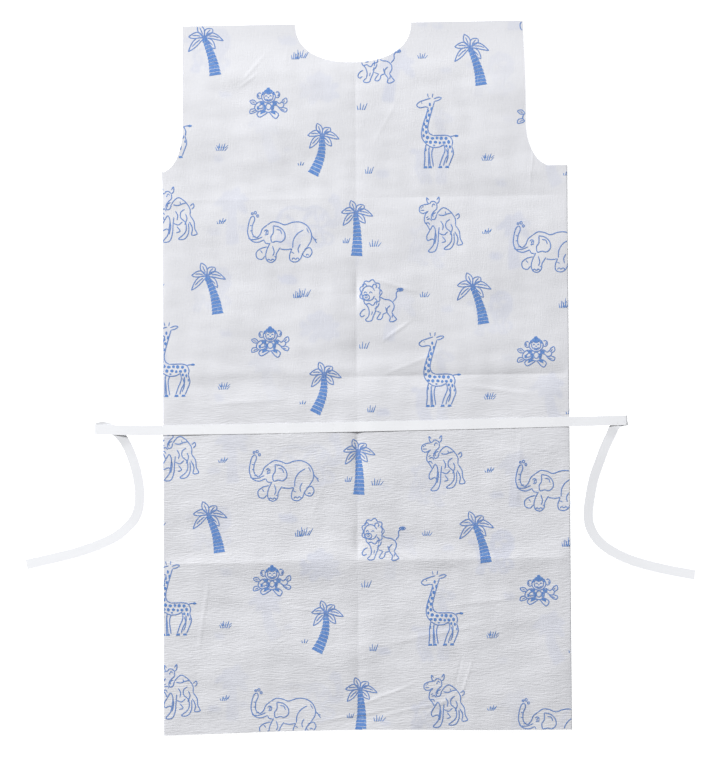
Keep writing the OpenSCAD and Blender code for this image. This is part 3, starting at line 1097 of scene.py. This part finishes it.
class GOWN_OT_camera(bpy.types.Operator):
    """Look straight down on the laid gown"""

    bl_idname = "gown.camera"
    bl_label = "Camera"

    def execute(self, context):
        distance, seen_width, sensor = 3.2, 0.9176, 36.0
        camera = bpy.data.cameras.new("camera")
        camera.sensor_fit = "HORIZONTAL"
        camera.sensor_width = sensor
        camera.lens = sensor * distance / seen_width
        eye = bpy.data.objects.new("camera", camera)
        eye.location = (-12.9 * MM, -0.3 * MM, distance)
        eye.rotation_euler = (0, 0, math.radians(-1.0))
        context.scene.collection.objects.link(eye)
        context.scene.camera = eye
        return {"FINISHED"}


# The tails' centre lines in millimetres, from the fold at the ribbon's end to the cut end
LEFT_ROUTE = (
    (-351.5, -59.4), (-343, -56.4), (-333, -57.4), (-323, -63), (-314.5, -73), (-308, -85), (-302, -101),
    (-297.4, -119), (-294.6, -140), (-296, -161), (-302, -176), (-312, -187), (-325, -197.5), (-346, -207.5),
    (-374, -217), (-408, -225), (-442, -232),
)
RIGHT_ROUTE = (
    (334.5, -60), (325, -62), (318, -68), (313, -78), (306, -92), (298, -112), (290, -134), (285, -157),
    (282, -180), (284.5, -197), (294, -213.5), (312, -228), (339, -241), (377, -252), (418, -260.5),
)


class GOWN_OT_tails(bpy.types.Operator):
    """The two free tails of the waist tie"""

    bl_idname = "gown.tails"
    bl_label = "Tie tails"

    # Height above the table by distance along each tail, in millimetres
    LEFT_RISE = ((0, 0.88), (5, 0.7), (16, 0.9), (25, 2.5), (31, 2.6), (54, 0.3), (68, 0))
    RIGHT_RISE = ((0, 0.88), (7, 1.7), (12, 2.6), (18, 2.6), (33, 0.2), (46, 0))
    # Roll in degrees by share of each tail's run
    LEFT_ROLL = ((0, 0), (0.02, 8), (0.05, 8), (0.085, 0), (0.2, -3), (0.6, 1), (1, 1))
    RIGHT_ROLL = ((0, 0), (0.1, 0), (0.2, 2), (0.6, 2), (0.8, 3), (1, 4))
    CLEAR = 0.05 * MM  # air under the tails

    def execute(self, context):
        self.tail("left", LEFT_ROUTE, 1, self.LEFT_RISE, self.LEFT_ROLL)
        self.tail("right", RIGHT_ROUTE, -1, self.RIGHT_RISE, self.RIGHT_ROLL)
        return {"FINISHED"}

    def tail(self, end, route, side, rise, roll):
        """end is the end of the belt that the tail hangs from, and side is +1 where it starts towards +X."""
        low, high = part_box("tie_front_span")
        half_w = (high[1] - low[1]) / 2
        flat = curve(np.asarray(route) * MM, 3.5 * MM)
        run = distances(flat)
        ahead = heading(flat)
        turn = np.radians(np.interp(run / run[-1], *zip(*roll, strict=True)))
        left = np.column_stack([-ahead[:, 1], ahead[:, 0]])
        aside = np.column_stack([left * np.cos(turn)[:, None], side * np.sin(turn)])
        lift = smoothed(np.interp(run / MM, *zip(*rise, strict=True)) * MM, (0.1, 0.2, 0.4, 0.2, 0.1))
        height = half_w * np.abs(np.sin(turn)) + RIBBON_HALF_T + self.CLEAR + lift
        path = np.column_stack([flat, height])
        piece = ribbon_piece(f"tail_{end}", path, aside, half_w)
        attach(piece, SECTION_BODIES["skirt"])
        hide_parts(f"tie_tail_{end}")


class GOWN_OT_belt(bpy.types.Operator):
    """The ribbon across the front, with the fold at each end"""

    bl_idname = "gown.belt"
    bl_label = "Tie ribbon"

    # How far the ribbon lies below a straight line by place across, both in millimetres
    SAG = ((-345, 0.2), (-293, 2.3), (-124, 2.8), (127, 1.6), (288, 0.2), (324, -0.2))
    CLEAR = 0.1 * MM  # air between the ribbon and the web
    END_Z = 3.0 * MM  # height of the ribbon past the gown
    TURN = 2 * MM  # how far each end's fold bulges

    def execute(self, context):
        web = the_web()
        low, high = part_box("tie_front_span")
        left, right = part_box("tie_fold_left")[0][0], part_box("tie_fold_right")[1][0]
        half_w = (high[1] - low[1]) / 2
        x = np.arange(left + self.TURN, right - self.TURN, 2.5 * MM)
        y = np.full_like(x, (low[1] + high[1]) / 2)
        inside = x.clip(-web.flat + 4 * MM, web.flat - 4 * MM)
        rows = [y + dy for dy in (-half_w, 0, half_w)]
        on_gown = np.max([web.back_height(inside, row) + web.front_gap(inside, row) for row in rows], axis=0)
        on_gown += RIBBON_HALF_T + web.sizes.ply / 2 + self.CLEAR
        window = np.hanning(15)
        on_gown = smoothed(on_gown, window) + self.CLEAR
        off = ((np.abs(x) - web.half) / (60 * MM)).clip(0, 1)
        z = on_gown + (self.END_Z - on_gown) * off ** 2 * (3 - 2 * off)
        y = y - smoothed(np.interp(x / MM, *zip(*self.SAG, strict=True)), window) * MM
        span = np.column_stack([x, y, z])
        path = np.concatenate([self.fold(span[0], -1), span, self.fold(span[-1], 1)[::-1]])
        piece = ribbon_piece("tie_ribbon", path, np.tile([0.0, 1.0, 0.0], (len(path), 1)), half_w)
        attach(piece, SECTION_BODIES["skirt"])
        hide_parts("tie_front_span", "tie_fold_left", "tie_fold_right")
        return {"FINISHED"}

    def fold(self, end, side):
        """Half a turn under the ribbon's end, from the tail's start up to the span."""
        x, y, z = end
        bottom = 1.03 * MM  # where the tail starts
        middle, radius = (z + bottom) / 2, (z - bottom) / 2
        turn = np.linspace(-math.pi / 2, math.pi / 2, 9)[:-1]
        return [(x + side * self.TURN * math.cos(a), y, middle + radius * math.sin(a)) for a in turn]


class GOWN_OT_web(bpy.types.Operator):
    """The folded web of tissue and film: four sections and three creases"""

    bl_idname = "gown.web"
    bl_label = "Tissue web"

    def execute(self, context):
        web = the_web()
        s, y, faces = self.grid(web)
        points, normal = web.point(s, y), web.normal(s, y)
        ghost = self.ghost(web, s, y)
        places = np.column_stack([s, y])
        centres = y[np.array(faces)].mean(axis=1)
        plies = [finish("outer"), finish("film"), finish("inner")]
        film_edge = 1 / 7  # the film is a seventh of the web's thickness
        width = web.ends[1] - web.ends[0]
        for name, low, high, bodies in zones():
            used, own, _ = zone_mesh(centres, faces, low, high)
            piece = thicken(
                f"{name}_web", points[used], normal[used], own, web.sizes.ply / 2, places[used], plies,
                bands=(-1, -film_edge, film_edge, 1), band_slots=(2, 1, 0),
            )
            self.add_ghost(piece, ghost[used])
            follow(piece, low, high, bodies)
            if len(bodies) == 1:
                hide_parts(*[f"{name}_{panel}_{ply}" for panel in PANELS for ply in PLIES])
            area = min(self.area(places[used], own), width * (high - low))
        return {"FINISHED"}

    @staticmethod
    def area(places, faces):
        """Flat area of four-sided faces."""
        a, b, c, d = (places[np.array(faces)[:, k]] for k in range(4))
        first, second = c - a, d - b
        return float(np.abs(first[:, 0] * second[:, 1] - first[:, 1] * second[:, 0]).sum() / 2)

    def grid(self, web):
        """The flat web's mesh: lines through its cuts, folds and creases, closer where it bends."""
        columns = np.array(sorted({round(s, 7) for s in self.columns(web)}))
        rows = np.array(sorted({round(y, 7) for y in self.rows(web)}))
        s, y = (a.ravel() for a in np.meshgrid(columns, rows))
        faces = np.array(grid_faces(len(columns), len(rows)))
        faces = faces[web.keeps(s[faces].mean(axis=1), y[faces].mean(axis=1))]
        uses = np.bincount(faces.ravel(), minlength=len(s))
        s, y = web.to_edge(s, y, (uses > 0) & (uses < 4))
        return s, y, [tuple(f) for f in faces.tolist()]

    @staticmethod
    def columns(web):
        cuts = [*web.arm_x, web.centre - web.NECK_W, web.centre + web.NECK_W, web.corner(1)[1]]
        keys = [*cuts, *web.ends, *(web.CREASE_X + side * web.CREASE_FINE for side in (-1, 0, 1))]
        keys += [math.copysign(web.flat + web.arc + web.flat - abs(x), x) for x in cuts]
        keys += [side * past for side in (-1, 1) for past in (web.flat, web.flat + web.arc)]
        found = lines(set(keys), web.sizes.cell)
        turn = [side * (web.flat + web.arc * k / 6) for side in (-1, 1) for k in range(1, 6)]
        halfway = [(a + b) / 2 for a, b in pairwise(found)]
        return found + turn + [s for s in halfway if abs(s - web.CREASE_X) < web.CREASE_FINE]

    @staticmethod
    def rows(web):
        strips = list(zip(web.creases, BEND.values(), strict=True))
        keys = [web.top, web.arm_y, web.bottom]
        keys += [y for crease, bend in strips for y in (crease - bend, crease, crease + bend)]
        found = lines(keys, web.sizes.cell)
        halfway = [(a + b) / 2 for a, b in pairwise(found)]
        return found + [y for y in halfway if any(abs(y - crease) < bend for crease, bend in strips)]

    @staticmethod
    def ghost(web, s, y):
        """How strongly the back panels' print shows through at each point of the front."""
        printed = the_print()
        cell, past = 1.5 * MM, 20 * MM
        behind = [f for f in printed.faces if abs(printed.points[f[0], 0]) > web.flat + web.arc]
        middles = np.array([printed.points[list(f)].mean(axis=0) for f in behind])
        edges_x = np.arange(-web.half - past, web.half + past, cell)
        edges_y = np.arange(web.bottom - past, web.top + past, cell)
        density, _, _ = np.histogram2d(web.fold_x(middles[:, 0]), middles[:, 1], bins=(edges_x, edges_y))
        window = np.exp(-((np.arange(-4, 5) * cell / (2.0 * MM)) ** 2))
        for axis in (0, 1):
            density = np.apply_along_axis(np.convolve, axis, density, window / window.sum(), mode="same")
        i = ((s - edges_x[0]) / cell - 0.5).clip(0, density.shape[0] - 2)
        j = ((y - edges_y[0]) / cell - 0.5).clip(0, density.shape[1] - 2)
        i0, j0 = i.astype(int), j.astype(int)
        u, v = i - i0, j - j0
        found = (density[i0, j0] * (1 - u) + density[i0 + 1, j0] * u) * (1 - v)
        found += (density[i0, j0 + 1] * (1 - u) + density[i0 + 1, j0 + 1] * u) * v
        patch = 0.6 + 0.4 * np.sin(s * 23 + 1) * np.sin(y * 17 + 2)
        return np.where(np.abs(s) < web.flat, (found * 3.0).clip(0, 1) * 0.5 * patch, 0)

    @staticmethod
    def add_ghost(piece, ghost):
        """Gives the show-through to the sheet's printed side, whose points come last."""
        values = np.zeros(len(piece.data.vertices), np.float32)
        values[-len(ghost):] = ghost
        piece.data.attributes.new("ghost", "FLOAT", "POINT").data.foreach_set("value", values)


class GOWN_OT_print(bpy.types.Operator):
    """The printed animals, palms and grass"""

    bl_idname = "gown.print"
    bl_label = "Print"

    HALF_T = 0.012 * MM
    LIFT = 0.05 * MM  # height of the lowest level over the tissue
    LEVEL = 0.012 * MM  # from one level to the next

    def execute(self, context):
        web, printed = the_web(), the_print()
        s, y = printed.points.T
        points, normal = web.point(s, y), web.normal(s, y)
        lift = web.sizes.ply / 2 + self.LIFT + printed.level * self.LEVEL
        inks = [finish("ink"), finish("solid ink")]
        for name, low, high, bodies in zones():
            used, own, chosen = zone_mesh(printed.centres, printed.faces, low, high)
            if not own:
                continue
            piece = thicken(
                f"{name}_print", points[used], normal[used], own, self.HALF_T, printed.points[used], inks,
                height=lift[used],
            )
            slots = np.zeros(len(piece.data.polygons), np.int32)
            slots[: 2 * len(own)] = np.tile(printed.solid[chosen], 2)
            piece.data.polygons.foreach_set("material_index", slots)
            follow(piece, low, high, bodies)
        return {"FINISHED"}


class GOWN_OT_glue(bpy.types.Operator):
    """The glue along the shoulders and under the tie"""

    bl_idname = "gown.glue"
    bl_label = "Glue lines"

    HALF_T = 0.025 * MM
    TIE_LIFT = 0.08 * MM  # height of the tie's glue over the tissue
    COLUMNS, ROWS = 120, 5

    def execute(self, context):
        half_ply = the_web().sizes.ply / 2
        self.strip("shoulder_glue_left", "shoulder_seal_left", -half_ply - self.HALF_T, "yoke")
        self.strip("shoulder_glue_right", "shoulder_seal_right", -half_ply - self.HALF_T, "yoke")
        self.strip("tie_glue", "tie_glue_line", half_ply + self.TIE_LIFT, "skirt")
        return {"FINISHED"}

    def strip(self, name, node, height, section):
        """Glue where the node is, at a height over the middle of the front panel."""
        low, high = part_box(node)
        x, y = np.linspace(low[0], high[0], self.COLUMNS), np.linspace(low[1], high[1], self.ROWS)
        x, y = (a.ravel() for a in np.meshgrid(x, y))
        web, faces = the_web(), grid_faces(self.COLUMNS, self.ROWS)
        piece = thicken(
            name, web.point(x, y), web.normal(x, y), faces, self.HALF_T, np.column_stack([x, y]),
            [finish("glue")], height=height,
        )
        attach(piece, SECTION_BODIES[section])
        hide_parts(node)


class GOWN_OT_stage(bpy.types.Operator):
    """Pale floor and soft lights"""

    bl_idname = "gown.stage"
    bl_label = "Stage"

    def execute(self, context):
        bpy.ops.mesh.primitive_plane_add(size=12)
        floor = context.object
        floor.name = "floor"
        floor.location.z = -0.2 * MM  # clear of the print under the back panels
        colour = settings("gown_colours").floor
        f = Finish("studio floor", Specular_IOR_Level=0.1, Emission_Strength=0.8)
        grain = f.noise(f.node("ShaderNodeTexCoord", {}, {}).outputs["Object"], 3.0, 2.0)
        colour = f.mix(grain, shade(colour, 0.995), shade(colour, 1.0))
        f.wear(Base_Color=colour, Roughness=0.9 - 0.05 * grain, Emission_Color=(1, 1, 1))
        floor.data.materials.append(f.material)
        self.light("key", (-4.9, 6.9, 3.25), 1.8, 1815)
        world = bpy.data.worlds.new("studio")
        world.use_nodes = True
        background = world.node_tree.nodes["Background"].inputs
        background["Color"].default_value = (1.0, 1.0, 1.0, 1.0)
        background["Strength"].default_value = 0.22
        context.scene.world = world
        context.scene.view_settings.view_transform = "Standard"
        return {"FINISHED"}

    @staticmethod
    def light(name, place, size, power):
        data = bpy.data.lights.new(name, "AREA")
        data.size, data.energy = size, power
        lamp = bpy.data.objects.new(name, data)
        lamp.location = place
        lamp.rotation_euler = (-Vector(place)).to_track_quat("-Z", "Y").to_euler()
        bpy.context.scene.collection.objects.link(lamp)


STEPS = ("camera", "tails", "belt", "web", "print", "glue", "stage")


class GOWN_PT_panel(bpy.types.Panel):
    """Everything that the gown is made of"""

    bl_idname = "GOWN_PT_panel"
    bl_label = "Examination gown"
    bl_space_type = "VIEW_3D"
    bl_region_type = "UI"
    bl_category = "Gown"

    def draw(self, context):
        for group in GROUPS:
            for name in settings(group).bl_rna.properties.keys():
                if name not in ("rna_type", "name"):
                    self.layout.prop(settings(group), name)
        for step in STEPS:
            self.layout.operator(f"gown.{step}")


CLASSES = (
    *GROUPS.values(), GOWN_OT_camera, GOWN_OT_tails, GOWN_OT_belt, GOWN_OT_web, GOWN_OT_print, GOWN_OT_glue,
    GOWN_OT_stage, GOWN_PT_panel,
)


def register():
    for cls in CLASSES:
        bpy.utils.register_class(cls)
    for group, cls in GROUPS.items():
        setattr(bpy.types.Scene, group, bpy.props.PointerProperty(type=cls))


def unregister():
    for group in GROUPS:
        delattr(bpy.types.Scene, group)
    for cls in reversed(CLASSES):
        bpy.utils.unregister_class(cls)


def main():
    register()
    for step in STEPS:
        getattr(bpy.ops.gown, step)()


if __name__ == "__main__":
    main()
